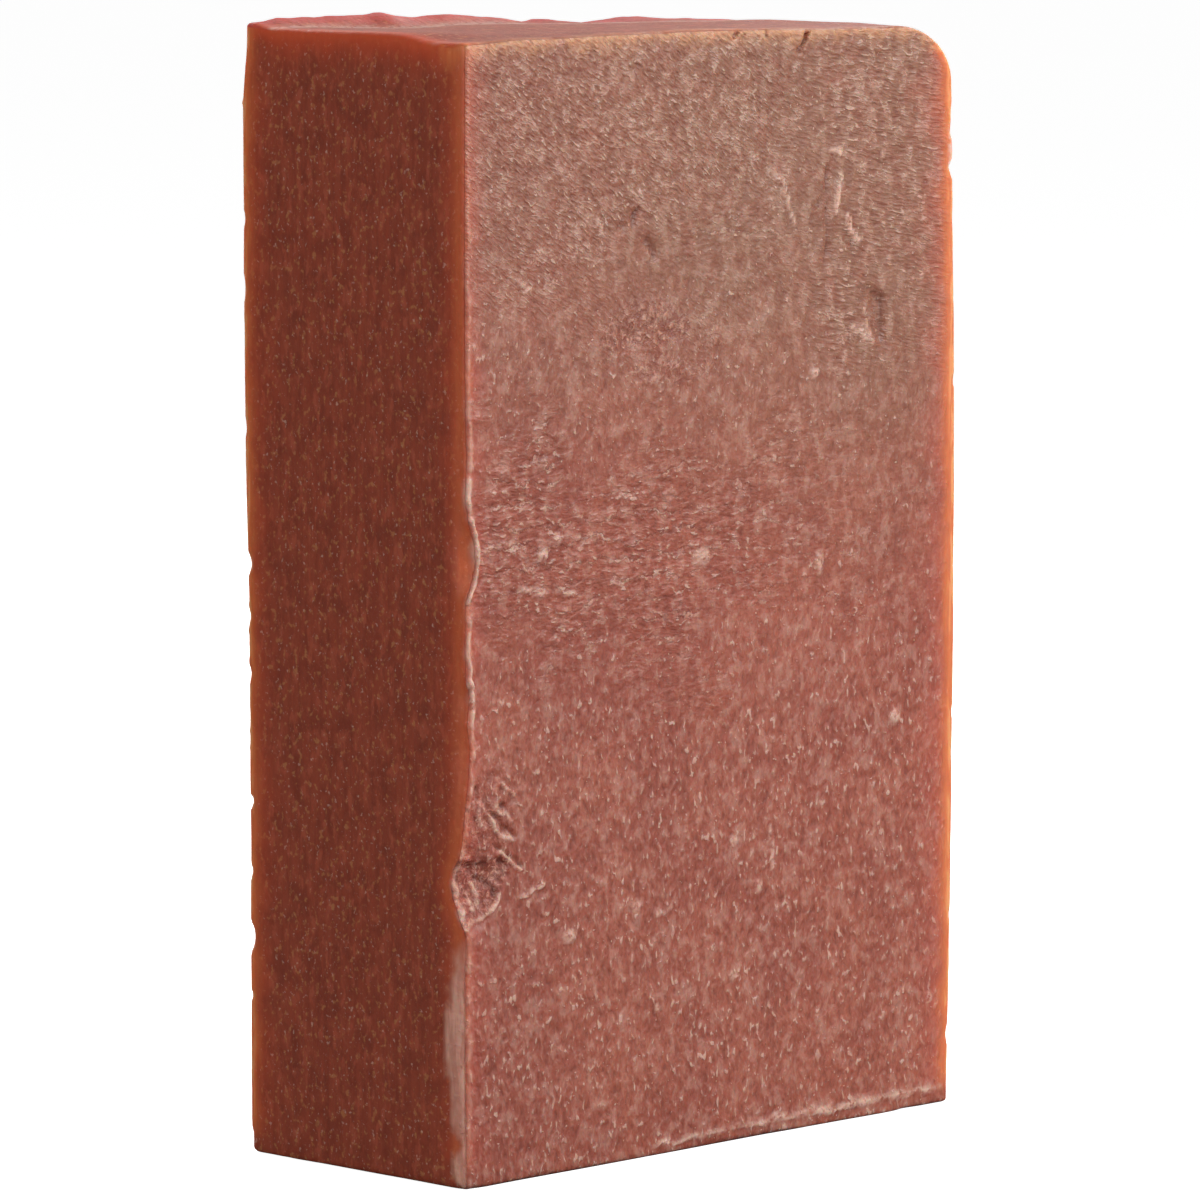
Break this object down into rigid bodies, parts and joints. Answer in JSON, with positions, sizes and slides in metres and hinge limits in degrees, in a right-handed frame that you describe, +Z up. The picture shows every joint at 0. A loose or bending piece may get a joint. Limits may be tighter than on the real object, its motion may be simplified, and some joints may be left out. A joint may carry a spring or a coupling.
{
  "type": "clay bar",
  "caption": "Solid rectangular cake of red clay soap, hand cut, standing on a narrow end, with worn edges, one rounded corner and a chipped front edge.",
  "frame": {"origin": "centre of the bar's box at the plane of the narrow end it stands on", "axes": "+Z up along the bar's length, X across the wide cut faces, -Y out of the front wide face"},
  "size_m": [0.0566, 0.0256, 0.0904],
  "materials": {
    "clay_soap": "waxy, semi-matt, slightly translucent red clay soap with drag-marked cut faces"
  },
  "bodies": {
    "root": {"clay_bar": "clay_soap"}
  },
  "joints": []
}
